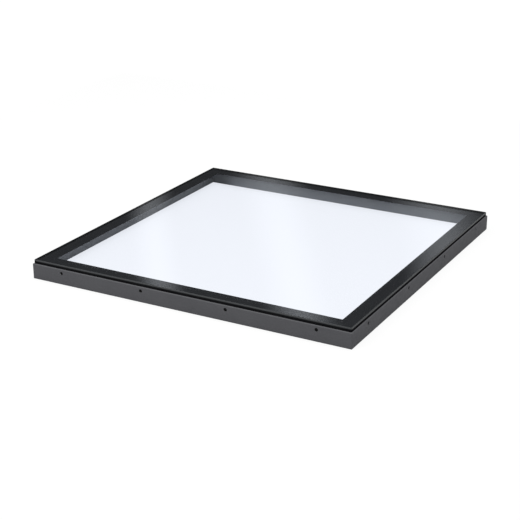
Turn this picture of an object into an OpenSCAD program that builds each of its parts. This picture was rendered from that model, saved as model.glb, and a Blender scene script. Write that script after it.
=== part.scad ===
// Flat glass skylight cover: a fixed pane bonded onto a mitred skirt frame that drops over a roof kerb.
// Millimetres, +Z up. The origin is the plan centre, level with the foot of the skirt.
// Along each side, u runs inwards from the outer face of the skirt.

/* [Overall] */
// Width over the outer faces of the skirt, along X
cover_w = 1000; // [600:10:1500]
// Depth over the outer faces of the skirt, along Y
cover_d = 1000; // [600:10:1500]

/* [Frame profile] */
// Height from the foot of the skirt to the top of the glazing ledge
frame_h = 45.5; // [40:0.5:80]
// Wall thickness of the skirt
skirt_t = 2.5; // [2:0.1:3.5]
// Thickness of the glazing ledge
ledge_t = 1.8; // [1.6:0.1:3]
// Reach of the glazing ledge from the outer face
ledge_w = 30; // [26:1:40]
// Radius of the shoulder between skirt and ledge
shoulder_r = 3; // [2:0.25:4]
// Radius of the fillet inside the shoulder
fillet_r = 1; // [0.5:0.1:1]
// Radius on both edges of the foot
foot_r = 0.6; // [0.2:0.1:0.8]
// Radius on the upright corner edges
corner_r = 1.5; // [1:0.5:4]
// Open width of each mitre joint
mitre_gap = 0.04; // [0.02:0.02:0.4]

/* [Fixing holes] */
// Diameter of the fixing holes in the skirt
hole_d = 10; // [6:0.5:12]
// Distance from the end of a side to its first fixing hole
hole_edge = 100; // [60:5:200]
// Number of fixing holes in each side
hole_count = 4; // [2:1:8]
// Height left between the lower lip of the key channel and the fixing holes
hole_gap = 0.3; // [0.2:0.1:4]
// Chamfer on the outer edge of the fixing holes
hole_chamfer = 0.4; // [0.2:0.1:0.8]

/* [Corner keys] */
// Thickness of a corner key
key_t = 3; // [2:0.1:4]
// Height of a corner key
key_h = 4.2; // [4.2:0.1:8]
// Length of each leg of a corner key
key_leg = 70; // [60:1:90]
// Chamfer on the ends of a corner key
key_chamfer = 0.8; // [0.4:0.1:1.2]
// Radius on the outer edge of a corner key
key_corner_r = 2; // [1:0.1:2.5]
// Gap between a corner key and the skirt
key_gap = 1; // [1:0.1:1.4]
// Gap between a corner key and the ledge above it
key_clear = 0.2; // [0.1:0.1:0.5]
// Thickness of the lips that hold the corner keys
lip_t = 1; // [1:0.1:1.8]
// Overlap of the lips over the corner keys
lip_overlap = 1.2; // [1:0.1:1.6]

/* [Set screws] */
// Diameter of the set screws in the corner keys
set_screw_d = 2.5; // [2:0.5:3]
// Gap around a set screw in its hole
set_screw_gap = 0.05; // [0.02:0.01:0.1]
// Distance along a leg to its first set screw
set_screw_first = 25; // [18:1:30]
// Distance between the set screws of a leg
set_screw_pitch = 30; // [20:1:34]
// Size across the flats of the hexagon socket
socket_flats = 1.3; // [1.1:0.1:1.5]
// Depth of the hexagon socket
socket_depth = 1.8; // [1:0.1:2.4]

/* [Glass] */
// Thickness of the pane
glass_t = 6; // [5:0.5:8]
// Distance from the outer face of the skirt to the edge of the pane
glass_inset = 3; // [2:0.5:6]
// Radius on the upper and lower edge of the pane
glass_edge_r = 2; // [0.5:0.25:2.5]
// Radius on the corners of the pane, in plan
glass_corner_r = 4; // [3:0.5:20]
// Width of the enamel border from the edge of the pane
enamel_w = 47; // [36:1:80]
// Thickness of the enamel border
enamel_t = 0.1; // [0.05:0.05:0.3]

/* [Bond line] */
// Height of the bond line between ledge and enamel
bond_t = 5.4; // [3:0.1:8]
// Width of the edge gasket
gasket_w = 7; // [6:0.1:8]
// Radius of the hollow in each flank of the edge gasket
gasket_hollow_r = 1.2; // [0.4:0.1:1.4]
// Gap between edge gasket and bonding tape
tape_gap = 0.5; // [0.2:0.1:1]
// Width of the bonding tape
tape_w = 6; // [5:0.5:8]
// Distance from the sealant bead to the inner edge of the ledge
bead_margin = 2; // [1:0.5:4]
// Depth of the hollow in the face of the sealant bead
bead_hollow = 0.6; // [0.3:0.1:1]

/* [Kerb seal] */
// Width of the kerb seal
seal_w = 9; // [8:0.5:12]
// Height of the kerb seal
seal_h = 4; // [3:0.5:6]
// Number of ribs under the kerb seal
seal_ribs = 3; // [2:1:5]
// Part of the height of the kerb seal that is cut into ribs
seal_rib_part = 0.6; // [0.3:0.05:0.7]
// Gap between the kerb seal and the lip beside it
seal_gap = 1; // [0.5:0.1:2]

/* [Fixing seal] */
// Thickness of the foam strip behind the fixing holes
strip_t = 1.5; // [1:0.1:3]
// Gap between the foam strip and the lip above it
strip_gap = 0.1; // [0.1:0.1:1]
// Cover of the foam strip below the fixing holes
strip_margin = 0.2; // [0.1:0.1:4]

/* [Hidden] */
$fn = 96;
SIDES = [0, 1, 2, 3];
FRONT = SIDES[0];
RIGHT = SIDES[1];
BACK = SIDES[2];
LEFT = SIDES[3];
QUARTER = 90;
HEX = 6;
cut = 1;
side_len = [cover_w, cover_d, cover_w, cover_d];
side_x = [-cover_w / 2, cover_w / 2, cover_w / 2, -cover_w / 2];
side_y = [-cover_d / 2, -cover_d / 2, cover_d / 2, cover_d / 2];
ledge_under = frame_h - ledge_t;
bond_top = frame_h + bond_t;
glass_z = bond_top + enamel_t;
total_h = glass_z + glass_t;
pane_corner = glass_inset + glass_corner_r;
enamel_outer = glass_inset + glass_edge_r;
enamel_inner = glass_inset + enamel_w;
key_outer = skirt_t + key_gap;
key_inner = key_outer + key_t;
key_end = key_outer + key_leg;
lip_end = key_inner + lip_t;
lip_top = ledge_under - key_clear - key_h;
lip_foot = lip_top - lip_t;
hole_z = lip_foot - hole_gap - hole_d / 2;
set_screw_l = key_gap + key_t;
set_screw_z = lip_top + key_h / 2;
gasket_mid = frame_h + bond_t / 2;
gasket_inner = shoulder_r + gasket_w;
tape_outer = gasket_inner + tape_gap;
tape_inner = tape_outer + tape_w;
tape_start = max(pane_corner, tape_outer);
bead_inner = ledge_w - bead_margin;
bead_hollow_r = (pow(bond_t / 2, 2) + pow(bead_hollow, 2)) / (2 * bead_hollow);
seal_outer = lip_end + seal_gap;
seal_z = ledge_under - seal_h;
seal_step = seal_w / (2 * seal_ribs - 1);
strip_top = lip_foot - strip_gap;
strip_z = hole_z - hole_d / 2 - strip_margin;
frame_colour = [0.33, 0.33, 0.34];
glass_colour = [0.75, 0.86, 0.84, 0.35];
enamel_colour = [0.03, 0.03, 0.035];
gasket_colour = [0.05, 0.05, 0.05];
tape_colour = [0.16, 0.16, 0.17];
bead_colour = [0.08, 0.08, 0.08];
key_colour = [0.68, 0.69, 0.7];
screw_colour = [0.3, 0.3, 0.32];
seal_colour = [0.07, 0.07, 0.07];
strip_colour = [0.13, 0.13, 0.14];

// Puts children drawn along local X, with local Y inwards, onto one side of the cover
module at_side(i) {
    translate([side_x[i], side_y[i], 0])
        rotate([0, 0, QUARTER * i])
            children();
}

// Extrudes a section drawn as (u, z) along local X
module along(length) {
    rotate([QUARTER, 0, QUARTER])
        linear_extrude(length)
            children();
}

// The piece that lies between a square corner and the arc that rounds it
module corner_web(r) {
    difference() {
        square(r);
        translate([r, r])
            circle(r);
    }
}

// The same piece carried past the corner, for cutting
module corner_cutter(r) {
    difference() {
        translate([-cut, -cut])
            square(r + cut);
        translate([r, r])
            circle(r);
    }
}

// Block that leaves the mitred length of one side
module mitre_block(length, reach, gap) {
    start = gap / sqrt(2);
    deep = reach + cut;
    translate([0, 0, -cut])
        linear_extrude(total_h + 2 * cut)
            polygon([
                [start - cut, -cut],
                [length - start + cut, -cut],
                [length - start - deep, deep],
                [start + deep, deep]
            ]);
}

// One side of a mitred frame from its section
module mitred_side(i, reach, gap) {
    at_side(i)
        intersection() {
            along(side_len[i])
                children();
            mitre_block(side_len[i], reach, gap);
        }
}

// Ring with round corners about centres at the given inset, from its section
module rounded_ring(inset) {
    for (i = SIDES)
        at_side(i) {
            translate([inset, 0, 0])
                along(side_len[i] - 2 * inset)
                    children();
            translate([inset, inset, 0])
                rotate([0, 0, 2 * QUARTER])
                    rotate_extrude(angle = QUARTER)
                        translate([inset, 0])
                            mirror([1, 0])
                                children();
        }
}

// Lips of the channel that holds the corner keys, drawn with the fillet inside the shoulder
module channel_section() {
    translate([skirt_t, ledge_under])
        mirror([0, 1])
            corner_web(fillet_r);
    translate([skirt_t, lip_foot])
        square([lip_end - skirt_t, lip_t]);
    translate([key_inner, lip_foot])
        square([lip_t, lip_t + lip_overlap]);
    translate([key_inner, ledge_under - lip_overlap])
        square([lip_t, lip_overlap]);
}

module frame_section() {
    difference() {
        union() {
            square([skirt_t, frame_h]);
            translate([0, ledge_under])
                square([ledge_w, ledge_t]);
            channel_section();
        }
        translate([0, frame_h])
            mirror([0, 1])
                corner_cutter(shoulder_r);
        corner_cutter(foot_r);
        translate([skirt_t, 0])
            mirror([1, 0])
                corner_cutter(foot_r);
        translate([ledge_w, frame_h])
            rotate(2 * QUARTER)
                corner_cutter(foot_r);
        translate([ledge_w, ledge_under])
            mirror([1, 0])
                corner_cutter(foot_r);
    }
}

module fixing_hole() {
    translate([0, -cut, hole_z])
        rotate([-QUARTER, 0, 0])
            cylinder(d = hole_d, h = skirt_t + 2 * cut);
    translate([0, 0, hole_z])
        rotate([-QUARTER, 0, 0])
            cylinder(d1 = hole_d + 2 * hole_chamfer, d2 = hole_d, h = hole_chamfer);
}

module corner_easing() {
    translate([0, 0, -cut])
        linear_extrude(total_h)
            corner_cutter(corner_r);
}

module frame_side(i) {
    length = side_len[i];
    hole_pitch = (length - 2 * hole_edge) / (hole_count - 1);
    color(frame_colour)
        difference() {
            mitred_side(i, ledge_w, mitre_gap)
                frame_section();
            at_side(i) {
                corner_easing();
                translate([length, 0, 0])
                    mirror([1, 0, 0])
                        corner_easing();
                for (k = [0:hole_count - 1])
                    translate([hole_edge + k * hole_pitch, 0, 0])
                        fixing_hole();
            }
        }
}

module frame_front() {
    frame_side(FRONT);
}

module frame_right() {
    frame_side(RIGHT);
}

module frame_back() {
    frame_side(BACK);
}

module frame_left() {
    frame_side(LEFT);
}

module pane_edge_section() {
    difference() {
        translate([glass_inset, glass_z])
            square([glass_corner_r, glass_t]);
        translate([glass_inset, glass_z])
            corner_cutter(glass_edge_r);
        translate([glass_inset, total_h])
            mirror([0, 1])
                corner_cutter(glass_edge_r);
    }
}

module glass_pane() {
    color(glass_colour) {
        rounded_ring(pane_corner)
            pane_edge_section();
        translate([pane_corner - cover_w / 2, pane_corner - cover_d / 2, glass_z])
            cube([cover_w - 2 * pane_corner, cover_d - 2 * pane_corner, glass_t]);
    }
}

module enamel_border() {
    color(enamel_colour)
        difference() {
            union() {
                rounded_ring(pane_corner)
                    translate([enamel_outer, bond_top])
                        square([pane_corner - enamel_outer, enamel_t]);
                translate([pane_corner - cover_w / 2, pane_corner - cover_d / 2, bond_top])
                    cube([cover_w - 2 * pane_corner, cover_d - 2 * pane_corner, enamel_t]);
            }
            translate([enamel_inner - cover_w / 2, enamel_inner - cover_d / 2, bond_top - cut])
                cube([cover_w - 2 * enamel_inner, cover_d - 2 * enamel_inner, enamel_t + 2 * cut]);
        }
}

// The gasket starts where the shoulder ends, so it fills the joint up to the edge of the pane
module gasket_section() {
    difference() {
        translate([shoulder_r, frame_h])
            square([gasket_w, bond_t]);
        translate([shoulder_r, gasket_mid])
            circle(gasket_hollow_r);
        translate([gasket_inner, gasket_mid])
            circle(gasket_hollow_r);
    }
}

// Its mitred corners are trimmed to the radius of the corners of the pane
module edge_gasket() {
    color(gasket_colour)
        difference() {
            for (i = SIDES)
                mitred_side(i, ledge_w, 0)
                    gasket_section();
            for (i = SIDES)
                at_side(i)
                    translate([shoulder_r, shoulder_r, 0])
                        linear_extrude(total_h)
                            corner_cutter(glass_corner_r);
        }
}

module bonding_tape(i, start) {
    color(tape_colour)
        at_side(i)
            translate([start, tape_outer, frame_h])
                cube([side_len[i] - 2 * start, tape_w, bond_t]);
}

module bonding_tape_front() {
    bonding_tape(FRONT, tape_start);
}

module bonding_tape_right() {
    bonding_tape(RIGHT, max(tape_start, tape_inner + tape_gap));
}

module bonding_tape_back() {
    bonding_tape(BACK, tape_start);
}

module bonding_tape_left() {
    bonding_tape(LEFT, max(tape_start, tape_inner + tape_gap));
}

module bead_section() {
    difference() {
        translate([tape_inner, frame_h])
            square([bead_inner - tape_inner, bond_t]);
        translate([bead_inner + bead_hollow_r - bead_hollow, gasket_mid])
            circle(bead_hollow_r);
    }
}

module sealant_bead() {
    color(bead_colour)
        for (i = SIDES)
            mitred_side(i, ledge_w, 0)
                bead_section();
}

module key_plan() {
    difference() {
        polygon([
            [key_outer, key_outer],
            [key_end - key_chamfer, key_outer],
            [key_end, key_outer + key_chamfer],
            [key_end, key_inner],
            [key_inner, key_inner],
            [key_inner, key_end],
            [key_outer + key_chamfer, key_end],
            [key_outer, key_end - key_chamfer]
        ]);
        translate([key_outer, key_outer])
            corner_cutter(key_corner_r);
    }
}

// Puts children at the set screws of both legs, with their axis inwards from the skirt
module at_set_screws() {
    for (k = [0, 1]) {
        along_leg = set_screw_first + k * set_screw_pitch;
        translate([along_leg, skirt_t, set_screw_z])
            rotate([-QUARTER, 0, 0])
                children();
        translate([skirt_t, along_leg, set_screw_z])
            rotate([0, QUARTER, 0])
                children();
    }
}

module corner_key(i) {
    color(key_colour)
        at_side(i)
            difference() {
                translate([0, 0, lip_top])
                    linear_extrude(key_h)
                        key_plan();
                at_set_screws()
                    cylinder(d = set_screw_d + 2 * set_screw_gap, h = set_screw_l + cut);
            }
}

module set_screws(i) {
    socket_d = socket_flats / cos(QUARTER / 3);
    color(screw_colour)
        at_side(i)
            at_set_screws()
                difference() {
                    cylinder(d = set_screw_d, h = set_screw_l);
                    translate([0, 0, set_screw_l - socket_depth])
                        cylinder(d = socket_d, h = socket_depth + cut, $fn = HEX);
                }
}

module corner_key_front_left() {
    corner_key(FRONT);
}

module corner_key_front_right() {
    corner_key(RIGHT);
}

module corner_key_back_right() {
    corner_key(BACK);
}

module corner_key_back_left() {
    corner_key(LEFT);
}

module set_screws_front_left() {
    set_screws(FRONT);
}

module set_screws_front_right() {
    set_screws(RIGHT);
}

module set_screws_back_right() {
    set_screws(BACK);
}

module set_screws_back_left() {
    set_screws(LEFT);
}

module seal_section() {
    groove = seal_h * seal_rib_part;
    difference() {
        translate([seal_outer, seal_z])
            square([seal_w, seal_h]);
        for (k = [1:seal_ribs - 1])
            translate([seal_outer + (2 * k - 1) * seal_step, seal_z - cut])
                square([seal_step, groove + cut]);
    }
}

module kerb_seal(i) {
    color(seal_colour)
        mitred_side(i, ledge_w, mitre_gap)
            seal_section();
}

module kerb_seal_front() {
    kerb_seal(FRONT);
}

module kerb_seal_right() {
    kerb_seal(RIGHT);
}

module kerb_seal_back() {
    kerb_seal(BACK);
}

module kerb_seal_left() {
    kerb_seal(LEFT);
}

module fixing_seal(i) {
    color(strip_colour)
        mitred_side(i, ledge_w, mitre_gap)
            translate([skirt_t, strip_z])
                square([strip_t, strip_top - strip_z]);
}

module fixing_seal_front() {
    fixing_seal(FRONT);
}

module fixing_seal_right() {
    fixing_seal(RIGHT);
}

module fixing_seal_back() {
    fixing_seal(BACK);
}

module fixing_seal_left() {
    fixing_seal(LEFT);
}

frame_front();
frame_right();
frame_back();
frame_left();
glass_pane();
enamel_border();
edge_gasket();
bonding_tape_front();
bonding_tape_right();
bonding_tape_back();
bonding_tape_left();
sealant_bead();
corner_key_front_left();
corner_key_front_right();
corner_key_back_right();
corner_key_back_left();
set_screws_front_left();
set_screws_front_right();
set_screws_back_right();
set_screws_back_left();
kerb_seal_front();
kerb_seal_right();
kerb_seal_back();
kerb_seal_left();
fixing_seal_front();
fixing_seal_right();
fixing_seal_back();
fixing_seal_left();
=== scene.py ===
# Roof skylight cover: every finish, the pane with its fused border, threaded screws, light and camera.
import math

import bmesh
import bpy
from mathutils import Matrix, Vector


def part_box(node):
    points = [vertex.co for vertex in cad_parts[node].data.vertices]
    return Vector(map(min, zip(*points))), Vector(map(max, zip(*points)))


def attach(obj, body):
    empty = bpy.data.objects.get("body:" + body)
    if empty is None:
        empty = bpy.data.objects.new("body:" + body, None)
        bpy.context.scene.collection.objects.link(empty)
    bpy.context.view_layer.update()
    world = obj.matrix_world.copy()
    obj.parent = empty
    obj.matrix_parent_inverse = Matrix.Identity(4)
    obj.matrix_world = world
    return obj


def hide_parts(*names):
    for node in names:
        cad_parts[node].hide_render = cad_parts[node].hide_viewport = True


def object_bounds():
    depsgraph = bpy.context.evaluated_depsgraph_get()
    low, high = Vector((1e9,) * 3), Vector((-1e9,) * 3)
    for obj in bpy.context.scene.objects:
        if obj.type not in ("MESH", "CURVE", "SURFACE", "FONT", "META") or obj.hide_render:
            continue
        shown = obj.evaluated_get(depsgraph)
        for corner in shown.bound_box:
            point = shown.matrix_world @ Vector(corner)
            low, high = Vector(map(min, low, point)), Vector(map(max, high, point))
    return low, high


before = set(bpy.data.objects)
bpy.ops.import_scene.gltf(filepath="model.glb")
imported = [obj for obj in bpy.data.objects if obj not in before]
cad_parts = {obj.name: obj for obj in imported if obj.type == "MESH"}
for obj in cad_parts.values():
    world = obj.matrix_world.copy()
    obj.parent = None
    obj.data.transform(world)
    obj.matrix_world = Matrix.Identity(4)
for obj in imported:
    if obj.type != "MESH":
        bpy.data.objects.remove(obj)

CAD_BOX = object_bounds()
MM = 0.001
QUARTER = math.pi / 2
SIDES = 4
WHITE = (1.0, 1.0, 1.0, 1.0)

# Camera: place in metres, angles in degrees, lens for a 36 mm wide sensor
CAMERA_PLACE = Vector((1.7021, -3.1483, 1.3818))
CAMERA_AZIMUTH = 28.925
CAMERA_ELEVATION = 21.449
CAMERA_ROLL = -0.252
CAMERA_LENS = 88.579
SENSOR_WIDTH = 36.0
CLIP_END = 100.0

# Stage: a white floor that keeps a soft shadow. Its glow has one share beside the cover and a higher one in
# the well under the pane, painted light that washes out the border's shadow there, with the distances from
# the middle at which they change
FLOOR_SIZE = 60.0
FLOOR_COLOUR = (0.82, 0.82, 0.82, 1.0)
FLOOR_GLOW_SHARE = 0.85
FLOOR_GLOW = 1.048
FLOOR_WELL_LIGHT_SHARE = 0.95
FLOOR_WELL_LIGHT_SPAN = (0.46, 0.5)
FLOOR_FADE = (0.9, 2.0)

# Light: plain ambient level, and softboxes as (name, place, width, watts)
AMBIENT_LEVEL = 0.55
SOFTBOXES = (
    ("key_softbox", Vector((-1.8, -3.4, 2.8)), 2.4, 68.0),
    ("top_softbox", Vector((0.3, 0.4, 3.6)), 2.6, 55.0),
)

# Studio that the gloss shows: dim walls with leaning light strips, a white horizon and a white ceiling
STUDIO_TINT = (0.96, 0.985, 1.0, 1.0)
WALL_LEVEL = 0.135
STRIP_LEVEL = 0.95
HORIZON_LEVEL = 0.95
CEILING_LEVEL = 0.90
HORIZON_ANGLES = (12.0, 5.0)
CEILING_ANGLES = (34.0, 60.0)
RISE_ANGLES = (16.0, 27.0)
RISE_LEVELS = (0.74, 1.30)
STRIP_SECTOR = 24.0
STRIP_START = -38.0
STRIP_LEAN_FROM = 20.0
STRIP_LEAN_TO = 29.0

# Light strips as (azimuth, lean for each degree of elevation, reach), repeated in every sector
STRIPS = ((-34.0, 0.10, 1.3), (-27.9, 0.25, 1.95), (-20.3, 0.30, 2.6))


def add(tree, kind, inputs=None, **settings):
    """Makes a shader node. An input is a value to set or a socket to link."""
    made = tree.nodes.new("ShaderNode" + kind)
    for name, value in settings.items():
        setattr(made, name, value)
    for name, value in (inputs or {}).items():
        if isinstance(value, bpy.types.NodeSocket):
            tree.links.new(value, made.inputs[name])
        else:
            made.inputs[name].default_value = value
    return made


def calc(tree, operation, *values):
    """Output of a Math node."""
    return add(tree, "Math", dict(enumerate(values)), operation=operation).outputs[0]


def remap(tree, value, start, end, low=0.0, high=1.0):
    """Value eased from low at start to high at end."""
    inputs = {"Value": value, "From Min": start, "From Max": end, "To Min": low, "To Max": high}
    return add(tree, "MapRange", inputs, interpolation_type="SMOOTHSTEP").outputs["Result"]


def empty_tree(owner):
    """The owner's node tree with nothing in it."""
    owner.use_nodes = True
    owner.node_tree.nodes.clear()
    return owner.node_tree


# Camera

def make_camera():
    azimuth = math.radians(CAMERA_AZIMUTH)
    elevation = math.radians(CAMERA_ELEVATION)
    back = Vector((
        math.sin(azimuth) * math.cos(elevation),
        -math.cos(azimuth) * math.cos(elevation),
        math.sin(elevation),
    ))
    right = Vector((math.cos(azimuth), math.sin(azimuth), 0.0))
    turn = Matrix((right, back.cross(right), back)).transposed().to_4x4()
    roll = Matrix.Rotation(math.radians(CAMERA_ROLL), 4, "Z")
    data = bpy.data.cameras.new("camera")
    data.lens = CAMERA_LENS
    data.sensor_width = SENSOR_WIDTH
    data.clip_end = CLIP_END
    camera = bpy.data.objects.new("camera", data)
    camera.matrix_world = Matrix.Translation(CAMERA_PLACE) @ turn @ roll
    bpy.context.scene.collection.objects.link(camera)
    bpy.context.scene.camera = camera


# Stage and light

def floor_material():
    """White ground that glows for camera, gloss and glass, and is see-through from below."""
    material = bpy.data.materials.new("floor_white")
    tree = empty_tree(material)
    path = add(tree, "LightPath").outputs
    seen = calc(tree, "MAXIMUM", path["Is Camera Ray"], path["Is Glossy Ray"])
    seen = calc(tree, "MAXIMUM", seen, path["Is Transmission Ray"])
    place = add(tree, "TexCoord").outputs["Object"]
    x, y, _ = add(tree, "SeparateXYZ", {0: place}).outputs
    aside = calc(tree, "MAXIMUM", calc(tree, "ABSOLUTE", x), calc(tree, "ABSOLUTE", y))
    # More glow in the well under the pane: painted light over the shadow that the border casts on the floor
    # there
    well_painted_light = remap(tree, aside, *FLOOR_WELL_LIGHT_SPAN, FLOOR_WELL_LIGHT_SHARE, FLOOR_GLOW_SHARE)
    share = calc(tree, "MULTIPLY", seen, calc(tree, "MAXIMUM", well_painted_light, remap(tree, aside, *FLOOR_FADE)))
    paint = add(tree, "BsdfDiffuse", {"Color": FLOOR_COLOUR})
    glow = add(tree, "Emission", {"Color": WHITE, "Strength": FLOOR_GLOW})
    top = add(tree, "MixShader", {0: share, 1: paint.outputs[0], 2: glow.outputs[0]})
    below = add(tree, "NewGeometry").outputs["Backfacing"]
    clear = add(tree, "BsdfTransparent")
    both = add(tree, "MixShader", {0: below, 1: top.outputs[0], 2: clear.outputs[0]})
    add(tree, "OutputMaterial", {"Surface": both.outputs[0]})
    return material


def make_floor():
    half = FLOOR_SIZE / 2
    level = CAD_BOX[0].z
    mesh = bpy.data.meshes.new("floor")
    corners = [(-half, -half, level), (half, -half, level), (half, half, level), (-half, half, level)]
    mesh.from_pydata(corners, [], [(0, 1, 2, 3)])
    mesh.materials.append(floor_material())
    floor = bpy.data.objects.new("floor", mesh)
    bpy.context.scene.collection.objects.link(floor)


def studio_level(tree):
    """How bright the studio is in a direction, for reflections."""
    place = add(tree, "TexCoord").outputs["Generated"]
    x, y, z = add(tree, "SeparateXYZ", {0: place}).outputs
    elevation = calc(tree, "DEGREES", calc(tree, "ARCSINE", z))
    azimuth = calc(tree, "DEGREES", calc(tree, "ARCTAN2", x, y))
    turned = calc(tree, "WRAP", azimuth, STRIP_START + STRIP_SECTOR, STRIP_START)
    raised = calc(tree, "SUBTRACT", calc(tree, "MINIMUM", elevation, STRIP_LEAN_TO), STRIP_LEAN_FROM)
    level = None
    for centre, lean, reach in STRIPS:
        middle = calc(tree, "MULTIPLY_ADD", raised, lean, centre)
        aside = calc(tree, "ABSOLUTE", calc(tree, "SUBTRACT", turned, middle))
        strip = remap(tree, aside, 0.0, reach, STRIP_LEVEL, WALL_LEVEL)
        level = strip if level is None else calc(tree, "MAXIMUM", level, strip)
    level = calc(tree, "MULTIPLY", level, remap(tree, elevation, *RISE_ANGLES, *RISE_LEVELS))
    horizon = remap(tree, elevation, *HORIZON_ANGLES, 0.0, HORIZON_LEVEL)
    ceiling = remap(tree, elevation, *CEILING_ANGLES, 0.0, CEILING_LEVEL)
    return calc(tree, "MAXIMUM", level, calc(tree, "MAXIMUM", horizon, ceiling))


def make_world():
    """White to the camera and through glass, the studio to gloss, and an even level to matt surfaces."""
    world = bpy.data.worlds.new("studio")
    bpy.context.scene.world = world
    tree = empty_tree(world)
    path = add(tree, "LightPath").outputs
    open_view = calc(tree, "MAXIMUM", path["Is Camera Ray"], path["Is Transmission Ray"])
    onward = calc(tree, "MAXIMUM", path["Is Glossy Ray"], path["Is Transmission Ray"])
    mirrored = calc(tree, "MULTIPLY", onward, calc(tree, "MINIMUM", path["Glossy Depth"], 1.0))
    ambient = add(tree, "Background", {"Color": WHITE, "Strength": AMBIENT_LEVEL})
    studio = add(tree, "Background", {"Color": STUDIO_TINT, "Strength": studio_level(tree)})
    white = add(tree, "Background", {"Color": WHITE, "Strength": 1.0})
    lit = add(tree, "MixShader", {0: open_view, 1: ambient.outputs[0], 2: white.outputs[0]})
    shown = add(tree, "MixShader", {0: mirrored, 1: lit.outputs[0], 2: studio.outputs[0]})
    add(tree, "OutputWorld", {"Surface": shown.outputs[0]})
    world.cycles.sampling_method = "NONE"


def make_softboxes():
    for name, place, width, watts in SOFTBOXES:
        data = bpy.data.lights.new(name, "AREA")
        data.shape = "SQUARE"
        data.size = width
        data.energy = watts
        lamp = bpy.data.objects.new(name, data)
        lamp.location = place
        lamp.rotation_euler = (-place).to_track_quat("-Z", "Y").to_euler()
        lamp.visible_glossy = False
        lamp.visible_transmission = False
        bpy.context.scene.collection.objects.link(lamp)


# Materials

# Sockets of a Mix node that is set to colours
MIX_SHARE, MIX_FIRST, MIX_SECOND, MIX_RESULT = 0, 6, 7, 2

# Detail and roughness of a noise, and the parts of its range and of a cell's that a finish uses
SMOOTH, PLAIN, RICH, FULL = 1.0, 2.0, 3.0, 4.0
SOFT, EVEN, HARSH = 0.4, 0.5, 0.6
NOISE_MIDDLE = 0.5
TONE_RANGE = (0.25, 0.75)
NOISE_RANGE = (0.2, 0.8)
METAL_RANGE = (0.25, 0.75)
CELL_RANGE = (0.1, 0.8)
PLAIN_GLOSS = 0.5

# How far a face turns to the middle of the cover, where a paler tone of painted light comes in, and upwards
# on the shoulder, where a painted highlight comes in
INSIDE_TURN = (-0.1, -0.3)
SHOULDER_HIGHLIGHT_TURN = (0.15, 0.6)


def surface(name):
    """A new material's tree, its Principled shader and its object coordinates in metres."""
    material = bpy.data.materials.new(name)
    tree = empty_tree(material)
    shader = add(tree, "BsdfPrincipled")
    add(tree, "OutputMaterial", {"Surface": shader.outputs[0]})
    place = add(tree, "TexCoord").outputs["Object"]
    return material, tree, shader, place


def noise(tree, place, grain, detail=PLAIN, roughness=EVEN, stretch=(1.0, 1.0, 1.0)):
    """Noise with features of about grain metres, longer along an axis where stretch is above 1."""
    scale = tuple(1.0 / (grain * s) for s in stretch)
    scaled = add(tree, "Mapping", {"Vector": place, "Scale": scale}).outputs[0]
    inputs = {"Vector": scaled, "Scale": 1.0, "Detail": detail, "Roughness": roughness}
    return add(tree, "TexNoise", inputs).outputs["Fac"]


def tones(tree, factor, pair):
    """Colour between a pair of tones by a factor."""
    ramp = add(tree, "ValToRGB", {"Fac": factor})
    for element, position, tone in zip(ramp.color_ramp.elements, TONE_RANGE, pair):
        element.position = position
        element.color = (*tone, 1.0)
    return ramp.outputs["Color"]


def bump(tree, height, depth, strength):
    """Normal from a height field of the given depth in metres."""
    inputs = {"Height": height, "Distance": depth, "Strength": strength}
    return add(tree, "Bump", inputs).outputs["Normal"]


def mix(tree, share, first, second):
    """Colour that goes from the first to the second by a share."""
    inputs = {MIX_SHARE: share, MIX_FIRST: first, MIX_SECOND: second}
    return add(tree, "Mix", inputs, data_type="RGBA").outputs[MIX_RESULT]


def inside_mix(tree, place, outside, inside):
    """Colour that differs on faces turned to the middle of the cover."""
    normal = add(tree, "NewGeometry").outputs["Normal"]
    turned = add(tree, "VectorMath", {0: normal, 1: place}, operation="DOT_PRODUCT").outputs["Value"]
    return mix(tree, remap(tree, turned, *INSIDE_TURN), outside, inside)


def finish_of(tree, shader, colour, rough, normal, gloss=PLAIN_GLOSS):
    """Gives a shader its colour, roughness, relief and gloss."""
    tree.links.new(colour, shader.inputs["Base Color"])
    tree.links.new(rough, shader.inputs["Roughness"])
    tree.links.new(normal, shader.inputs["Normal"])
    shader.inputs["Specular IOR Level"].default_value = gloss


# Each finish below has pairs of tones and of roughness, from low to high. A relief is a depth and a strength.

COAT_OUTSIDE = ((0.0845, 0.085, 0.092), (0.0945, 0.095, 0.102))
# Paler tones for the upward-turned shoulder: a painted highlight
COAT_SHOULDER_HIGHLIGHT = ((0.124, 0.125, 0.133), (0.136, 0.137, 0.145))
# Paler tones for faces turned to the middle: painted light that lifts the shade of the inner walls
COAT_INSIDE_PAINTED_LIGHT = ((0.286, 0.299, 0.316), (0.316, 0.330, 0.348))
COAT_ROUGHNESS = (0.58, 0.70)
COAT_GLOSS = 0.10
COAT_CLOUD = 90 * MM
COAT_PATCH = 14 * MM
COAT_PEEL = 1.6 * MM
COAT_PEEL_RELIEF = (0.08 * MM, 0.8)
COAT_GRAIN = 1.2


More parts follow.
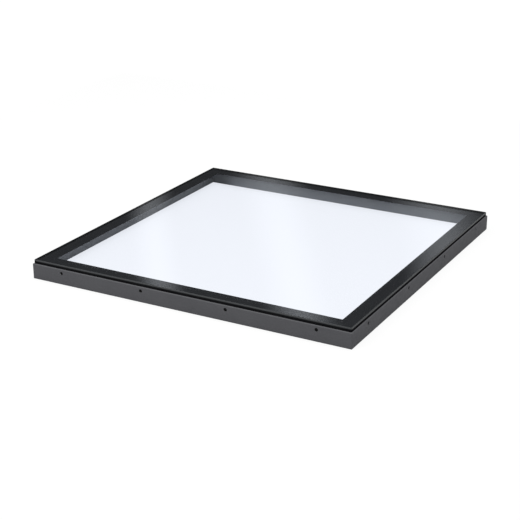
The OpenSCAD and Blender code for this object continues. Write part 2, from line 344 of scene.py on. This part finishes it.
def powder_coat():
    """Anthracite powder coat with orange peel, a painted highlight on the shoulder, and a paler grey painted
    on inward faces as light that lifts their shade.
    """
    material, tree, shader, place = surface("powder_coat_anthracite")
    clouds = noise(tree, place, COAT_CLOUD, RICH)
    peel = noise(tree, place, COAT_PEEL)
    spread = calc(tree, "MULTIPLY_ADD", calc(tree, "SUBTRACT", peel, NOISE_MIDDLE), COAT_GRAIN, clouds)
    upwards = add(tree, "SeparateXYZ", {0: add(tree, "NewGeometry").outputs["Normal"]}).outputs["Z"]
    # Faces turned upwards on the shoulder get the paler tones: a painted highlight standing in for the top
    # light
    turned = remap(tree, upwards, *SHOULDER_HIGHLIGHT_TURN)
    outside = mix(tree, turned, tones(tree, spread, COAT_OUTSIDE), tones(tree, spread, COAT_SHOULDER_HIGHLIGHT))
    # Faces turned to the middle get a paler grey: painted light lifting the shade of the inner walls
    colour = inside_mix(tree, place, outside, tones(tree, spread, COAT_INSIDE_PAINTED_LIGHT))
    rough = remap(tree, noise(tree, place, COAT_PATCH), *NOISE_RANGE, *COAT_ROUGHNESS)
    finish_of(tree, shader, colour, rough, bump(tree, peel, *COAT_PEEL_RELIEF), COAT_GLOSS)
    return material


GLASS_TINT = (0.892, 0.922, 0.988, 1.0)
GLASS_IOR = 1.085
WAVE_SIZE = 160 * MM
WAVE_STRETCH = (1.0, 4.0, 1.0)
WAVE_RELIEF = (0.05 * MM, 0.5)


def clear_glass():
    """Toughened pane with a low-reflection coating and faint roller waves."""
    material, tree, shader, place = surface("glass_clear")
    waves = noise(tree, place, WAVE_SIZE, SMOOTH, SOFT, WAVE_STRETCH)
    shader.inputs["Base Color"].default_value = GLASS_TINT
    shader.inputs["Roughness"].default_value = 0.0
    shader.inputs["IOR"].default_value = GLASS_IOR
    shader.inputs["Transmission Weight"].default_value = 1.0
    tree.links.new(bump(tree, waves, *WAVE_RELIEF), shader.inputs["Normal"])
    return material


EDGE_TONES = ((0.044, 0.047, 0.049), (0.066, 0.070, 0.073))
# Painted shade from the gasket: the edge darkens to this tone between these heights above the pane's
# underside
EDGE_PAINTED_SHADE = (0.006, 0.0065, 0.007, 1.0)
EDGE_SHADE_FULL_TO = 1.2 * MM
EDGE_SHADE_ENDS_AT = 3.6 * MM
EDGE_ROUGHNESS = (0.30, 0.45)
EDGE_GLOSS = 0.05
EDGE_SPECK = 1.2 * MM
EDGE_LINE = 0.25 * MM
EDGE_STRETCH = (12.0, 12.0, 1.0)
EDGE_RELIEF = (0.03 * MM, 0.5)


def ground_edge():
    """Ground and sealed rim of the pane: dull grey with fine grinding lines, and painted shade that darkens
    it towards the gasket.
    """
    material, tree, shader, place = surface("glass_edge_ground")
    speck = noise(tree, place, EDGE_SPECK, RICH, HARSH)
    lines = noise(tree, place, EDGE_LINE, stretch=EDGE_STRETCH)
    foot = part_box("glass_pane")[0].z
    height = add(tree, "SeparateXYZ", {0: place}).outputs["Z"]
    # Painted shade: darker towards the underside, where the gasket sits
    shade = remap(tree, height, foot + EDGE_SHADE_FULL_TO, foot + EDGE_SHADE_ENDS_AT)
    colour = mix(tree, shade, EDGE_PAINTED_SHADE, tones(tree, speck, EDGE_TONES))
    rough = remap(tree, speck, *NOISE_RANGE, *EDGE_ROUGHNESS)
    finish_of(tree, shader, colour, rough, bump(tree, lines, *EDGE_RELIEF), EDGE_GLOSS)
    return material


ARRIS_TONES = ((0.038, 0.040, 0.042), (0.056, 0.059, 0.062))
ARRIS_ROUGHNESS = (0.12, 0.20)
ARRIS_GLOSS = 0.40
ARRIS_SPECK = 2.0 * MM
ARRIS_LINE = 0.4 * MM
ARRIS_STRETCH = (10.0, 10.0, 1.0)
ARRIS_RELIEF = (0.01 * MM, 0.3)


def polished_arris():
    """Polished upper arris of the pane: grey glass depth with a clean gloss and faint polishing marks."""
    material, tree, shader, place = surface("glass_arris_polished")
    speck = noise(tree, place, ARRIS_SPECK, RICH, HARSH)
    lines = noise(tree, place, ARRIS_LINE, stretch=ARRIS_STRETCH)
    rough = remap(tree, speck, *NOISE_RANGE, *ARRIS_ROUGHNESS)
    relief = bump(tree, lines, *ARRIS_RELIEF)
    finish_of(tree, shader, tones(tree, speck, ARRIS_TONES), rough, relief, ARRIS_GLOSS)
    return material


ENAMEL_TONES = ((0.006, 0.0065, 0.0075), (0.010, 0.0105, 0.0115))
ENAMEL_ROUGHNESS = (0.03, 0.05)
ENAMEL_GLOSS = 0.8
ENAMEL_CLOUD = 60 * MM
ENAMEL_GRAIN = 0.7 * MM
ENAMEL_RELIEF = (0.002 * MM, 0.2)


def black_enamel():
    """Ceramic enamel fired to the pane: deep black and glossy through the glass."""
    material, tree, shader, place = surface("enamel_black")
    cloud = noise(tree, place, ENAMEL_CLOUD, RICH)
    grain = noise(tree, place, ENAMEL_GRAIN, SMOOTH)
    rough = remap(tree, cloud, *NOISE_RANGE, *ENAMEL_ROUGHNESS)
    relief = bump(tree, grain, *ENAMEL_RELIEF)
    finish_of(tree, shader, tones(tree, cloud, ENAMEL_TONES), rough, relief, ENAMEL_GLOSS)
    return material


GASKET_TONES = ((0.006, 0.006, 0.007), (0.010, 0.010, 0.011))
GASKET_SKIN = 0.5 * MM
GASKET_GLOSS = 0.0
SEAL_TONES = ((0.014, 0.014, 0.015), (0.024, 0.024, 0.025))
SEAL_SKIN = 0.4 * MM
SEAL_GLOSS = 0.15
RUBBER_ROUGHNESS = (0.55, 0.75)
RUBBER_BLOOM = 35 * MM
RUBBER_RELIEF = (0.06 * MM, 0.5)


def rubber(name, pair, grain, gloss):
    """Matt black rubber with a fine skin."""
    material, tree, shader, place = surface(name)
    bloom = noise(tree, place, RUBBER_BLOOM, RICH)
    skin = noise(tree, place, grain, PLAIN, HARSH)
    rough = remap(tree, bloom, *NOISE_RANGE, *RUBBER_ROUGHNESS)
    finish_of(tree, shader, tones(tree, bloom, pair), rough, bump(tree, skin, *RUBBER_RELIEF), gloss)
    return material


# Tones of a foam are those in the middle of a cell and at its wall
TAPE_TONES = ((0.030, 0.030, 0.031), (0.012, 0.012, 0.013))
TAPE_CELL = 0.6 * MM
# A real sealing strip, darker than the tape: its near-black tone is painted shade that makes the fixing holes
# read dark
STRIP_TONES_HOLE_SHADE = ((0.008, 0.008, 0.008), (0.003, 0.003, 0.003))
STRIP_CELL = 0.8 * MM
# The strip's inward film takes the same paler grey as the coat's inward faces: painted light that lifts its
# shade
STRIP_FILM_PAINTED_LIGHT = ((0.266, 0.278, 0.294), (0.304, 0.317, 0.335))
FILM_CLOUD = 30 * MM
FOAM_ROUGHNESS = (0.75, 0.92)
FOAM_GLOSS = 0.10
FOAM_RELIEF = (0.15 * MM, 0.6)


def foam(name, pair, cell, film=None):
    """Closed-cell foam with its cut cells, and where it is given a film on faces turned to the middle."""
    material, tree, shader, place = surface(name)
    scaled = add(tree, "Mapping", {"Vector": place, "Scale": (1 / cell,) * 3}).outputs[0]
    cells = add(tree, "TexVoronoi", {"Vector": scaled, "Scale": 1.0}).outputs["Distance"]
    colour = tones(tree, cells, pair)
    if film:
        faint = noise(tree, place, FILM_CLOUD, RICH)
        colour = inside_mix(tree, place, colour, tones(tree, faint, film))
    rough = remap(tree, cells, *CELL_RANGE, *FOAM_ROUGHNESS)
    finish_of(tree, shader, colour, rough, bump(tree, cells, *FOAM_RELIEF), FOAM_GLOSS)
    return material


SEALANT_TONES = ((0.010, 0.010, 0.011), (0.018, 0.018, 0.019))
SEALANT_ROUGHNESS = (0.32, 0.48)
SEALANT_RIPPLE = 9 * MM
SEALANT_RELIEF = (0.3 * MM, 0.5)


def sealant():
    """Black structural silicone with a tooled, slightly wavy face."""
    material, tree, shader, place = surface("sealant_black")
    ripple = noise(tree, place, SEALANT_RIPPLE)
    rough = remap(tree, ripple, *NOISE_RANGE, *SEALANT_ROUGHNESS)
    finish_of(tree, shader, tones(tree, ripple, SEALANT_TONES), rough, bump(tree, ripple, *SEALANT_RELIEF))
    return material


KEY_TONES = ((0.50, 0.51, 0.53), (0.66, 0.66, 0.65))
KEY_ROUGHNESS = (0.26, 0.44)
KEY_METAL = 1.0
SCREW_TONES = ((0.030, 0.030, 0.032), (0.060, 0.060, 0.064))
SCREW_ROUGHNESS = (0.30, 0.46)
SCREW_METAL = 0.85
METAL_CLOUD = 6 * MM
METAL_GRAIN = 0.5 * MM
METAL_STRETCH = (1.0, 1.0, 8.0)
METAL_RELIEF = (0.02 * MM, 0.4)


def metal(name, pair, roughness, weight):
    """Plated or blackened steel with clouds and a fine rolled grain."""
    material, tree, shader, place = surface(name)
    clouds = noise(tree, place, METAL_CLOUD, FULL, HARSH)
    grain = noise(tree, place, METAL_GRAIN, stretch=METAL_STRETCH)
    shader.inputs["Metallic"].default_value = weight
    rough = remap(tree, clouds, *METAL_RANGE, *roughness)
    finish_of(tree, shader, tones(tree, clouds, pair), rough, bump(tree, grain, *METAL_RELIEF))
    return material


# Pieces

def ring_outline(half, radius, steps):
    """Corner points of a rounded square, one list for each quarter turn."""
    corners = []
    for quarter in range(SIDES):
        middle = Vector((half - radius, half - radius, 0.0))
        turn = Matrix.Rotation(quarter * QUARTER, 3, "Z")
        arc = [step / steps * QUARTER for step in range(steps + 1)]
        corners.append([turn @ (middle + radius * Vector((math.cos(a), math.sin(a), 0.0))) for a in arc])
    return corners


def link_mesh(name, bm, material):
    """A new object from a bmesh."""
    bmesh.ops.recalc_face_normals(bm, faces=bm.faces)
    mesh = bpy.data.meshes.new(name)
    bm.to_mesh(mesh)
    bm.free()
    mesh.materials.append(material)
    made = bpy.data.objects.new(name, mesh)
    bpy.context.scene.collection.objects.link(made)
    return made


ENAMEL_FUSED_DEPTH = 0.05 * MM
ENAMEL_CORNER_RADIUS = 2 * MM
ENAMEL_CORNER_STEPS = 12


def make_enamel(material):
    """The border as a thin ring whose face lies just inside the glass, as fired enamel does."""
    low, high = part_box("enamel_border")
    points = [v.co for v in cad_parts["enamel_border"].data.vertices]
    inner_half = min(max(abs(p.x), abs(p.y)) for p in points)
    outer = ring_outline(high.x, ENAMEL_CORNER_RADIUS, ENAMEL_CORNER_STEPS)
    inner = ring_outline(inner_half, 0.0, 1)
    half_way = ENAMEL_CORNER_STEPS // 2
    bm = bmesh.new()
    layers = []
    for z in (low.z, high.z + ENAMEL_FUSED_DEPTH):
        rim = [[bm.verts.new((p.x, p.y, z)) for p in corner] for corner in outer]
        hole = [bm.verts.new((corner[0].x, corner[0].y, z)) for corner in inner]
        layers.append((rim, hole))
        for side in range(SIDES):
            after = (side + 1) % SIDES
            edge = rim[side][half_way:] + rim[after][:half_way + 1]
            bm.faces.new(edge + [hole[after], hole[side]])
    (low_rim, low_hole), (high_rim, high_hole) = layers
    low_loop = sum(low_rim, [])
    high_loop = sum(high_rim, [])
    for first, second in ((low_loop, high_loop), (low_hole, high_hole)):
        count = len(first)
        for i in range(count):
            j = (i + 1) % count
            bm.faces.new((first[i], first[j], second[j], second[i]))
    ring = link_mesh("fused_enamel_border", bm, material)
    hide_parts("enamel_border")
    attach(ring, "root")


PANE_CORNER_RADIUS = 4 * MM
PANE_CORNER_STEPS = 16
PANE_EDGE_RADIUS = 2 * MM
PANE_EDGE_STEPS = 6
EDGE_SLOT, ARRIS_SLOT = 1, 2


def make_pane(glass, edge, arris):
    """The pane: flat clear faces, and a ground edge with both arrises rounded and the upper one polished."""
    low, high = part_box("glass_pane")
    arc = [step / PANE_EDGE_STEPS * QUARTER for step in range(PANE_EDGE_STEPS + 1)]
    profile = [(angle - QUARTER, low.z + PANE_EDGE_RADIUS) for angle in arc]
    profile += [(angle, high.z - PANE_EDGE_RADIUS) for angle in arc]
    bm = bmesh.new()
    rings = []
    for angle, middle in profile:
        inset = PANE_EDGE_RADIUS * (1 - math.cos(angle))
        z = middle + PANE_EDGE_RADIUS * math.sin(angle)
        outline = sum(ring_outline(high.x - inset, PANE_CORNER_RADIUS - inset, PANE_CORNER_STEPS), [])
        rings.append([bm.verts.new((p.x, p.y, z)) for p in outline])
    count = len(rings[0])
    for level, (first, second) in enumerate(zip(rings, rings[1:])):
        for i in range(count):
            j = (i + 1) % count
            face = bm.faces.new((first[i], first[j], second[j], second[i]))
            face.smooth = True
            face.material_index = ARRIS_SLOT if level > PANE_EDGE_STEPS else EDGE_SLOT
    bm.faces.new(rings[0])
    bm.faces.new(rings[-1])
    pane = link_mesh("clear_pane", bm, glass)
    pane.data.materials.append(edge)
    pane.data.materials.append(arris)
    pane.visible_shadow = False
    pane.visible_diffuse = False
    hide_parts("glass_pane")
    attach(pane, "root")


SCREW_LENGTH = 4 * MM
SCREW_PLAY = 0.03 * MM
SCREW_SPACING = 30 * MM
SCREWS_PER_LEG = 2
THREAD_PITCH = 0.45 * MM
THREAD_DEPTH = 0.24 * MM
THREAD_SIDES = 24
THREAD_STEPS = 8
CUP_DEPTH = 0.45 * MM
SOCKET_FLATS = 1.3 * MM
SOCKET_DEPTH = 1.8 * MM
SOCKET_TIP = 0.3 * MM
HEX = 6


def thread_radius(crest, z, share):
    """Radius of the screw at a height and a share of one turn, with both ends chamfered."""
    ridge = abs((z / THREAD_PITCH - share) % 1.0 - 0.5) * 2
    radius = crest - THREAD_DEPTH * (1 - ridge)
    to_end = min(z, SCREW_LENGTH - z)
    return min(radius, crest - THREAD_DEPTH + to_end)


def add_set_screw(bm, place, crest):
    """One set screw along local Z, from its cup point to its hexagon socket."""
    def vert(radius, share, z):
        angle = share * math.tau
        return bm.verts.new(place @ Vector((radius * math.cos(angle), radius * math.sin(angle), z)))

    levels = math.ceil(SCREW_LENGTH / THREAD_PITCH * THREAD_STEPS)
    rings = []
    for level in range(levels + 1):
        z = level / levels * SCREW_LENGTH
        shares = [side / THREAD_SIDES for side in range(THREAD_SIDES)]
        rings.append([vert(thread_radius(crest, z, s), s, z) for s in shares])
    for first, second in zip(rings, rings[1:]):
        for i in range(THREAD_SIDES):
            j = (i + 1) % THREAD_SIDES
            bm.faces.new((first[i], first[j], second[j], second[i])).smooth = True
    cup = vert(0.0, 0.0, CUP_DEPTH)
    for i in range(THREAD_SIDES):
        bm.faces.new((rings[0][i], cup, rings[0][(i + 1) % THREAD_SIDES]))
    corner_r = SOCKET_FLATS / 2 / math.cos(math.pi / HEX)
    mouth = [vert(corner_r, k / HEX, SCREW_LENGTH) for k in range(HEX)]
    foot = [vert(corner_r, k / HEX, SCREW_LENGTH - SOCKET_DEPTH) for k in range(HEX)]
    tip = vert(0.0, 0.0, SCREW_LENGTH - SOCKET_DEPTH - SOCKET_TIP)
    span = THREAD_SIDES // HEX
    for k in range(HEX):
        after = (k + 1) % HEX
        rim = [rings[-1][(k * span + i) % THREAD_SIDES] for i in range(span + 1)]
        bm.faces.new(rim + [mouth[after], mouth[k]])
        bm.faces.new((mouth[k], mouth[after], foot[after], foot[k]))
        bm.faces.new((foot[k], foot[after], tip))


def make_set_screws(material):
    """Threaded set screws in place of the plain ones: two in each leg of each corner key."""
    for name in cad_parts:
        if not name.startswith("set_screws"):
            continue
        low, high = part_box(name)
        crest = (high.z - low.z) / 2
        level = (high.z + low.z) / 2
        outer = Vector((max(low.x, high.x, key=abs), max(low.y, high.y, key=abs), level))
        far = Vector((min(low.x, high.x, key=abs), min(low.y, high.y, key=abs), level))
        inward = Vector((-math.copysign(1, outer.x), -math.copysign(1, outer.y), 0.0))
        bm = bmesh.new()
        for along, across in ((0, 1), (1, 0)):
            for step in range(SCREWS_PER_LEG):
                foot = outer.copy()
                foot[along] = far[along] - inward[along] * (crest + step * SCREW_SPACING)
                axis = Vector((0.0, 0.0, 0.0))
                axis[across] = inward[across]
                turn = axis.to_track_quat("Z", "Y").to_matrix().to_4x4()
                add_set_screw(bm, Matrix.Translation(foot) @ turn, crest - SCREW_PLAY)
        screws = link_mesh("threaded_" + name, bm, material)
        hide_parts(name)
        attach(screws, "root")


def finish_nodes(materials):
    """Gives each node that stays its finish."""
    for name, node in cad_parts.items():
        for start, material in materials.items():
            if name.startswith(start):
                node.data.materials.clear()
                node.data.materials.append(material)


make_camera()
make_floor()
make_world()
make_softboxes()
finish_nodes({
    "frame_": powder_coat(),
    "edge_gasket": rubber("gasket_rubber_black", GASKET_TONES, GASKET_SKIN, GASKET_GLOSS),
    "bonding_tape": foam("tape_foam_black", TAPE_TONES, TAPE_CELL),
    "sealant_bead": sealant(),
    "corner_key": metal("zinc_plated_steel", KEY_TONES, KEY_ROUGHNESS, KEY_METAL),
    "kerb_seal": rubber("seal_rubber_black", SEAL_TONES, SEAL_SKIN, SEAL_GLOSS),
    # The fixing strip's near-black tone is painted shade for the holes in front of it
    "fixing_seal": foam("strip_foam_black_hole_shade", STRIP_TONES_HOLE_SHADE, STRIP_CELL, STRIP_FILM_PAINTED_LIGHT),
})
make_pane(clear_glass(), ground_edge(), polished_arris())
make_enamel(black_enamel())
make_set_screws(metal("black_oxide_steel", SCREW_TONES, SCREW_ROUGHNESS, SCREW_METAL))

bpy.context.scene.view_settings.view_transform = "Standard"
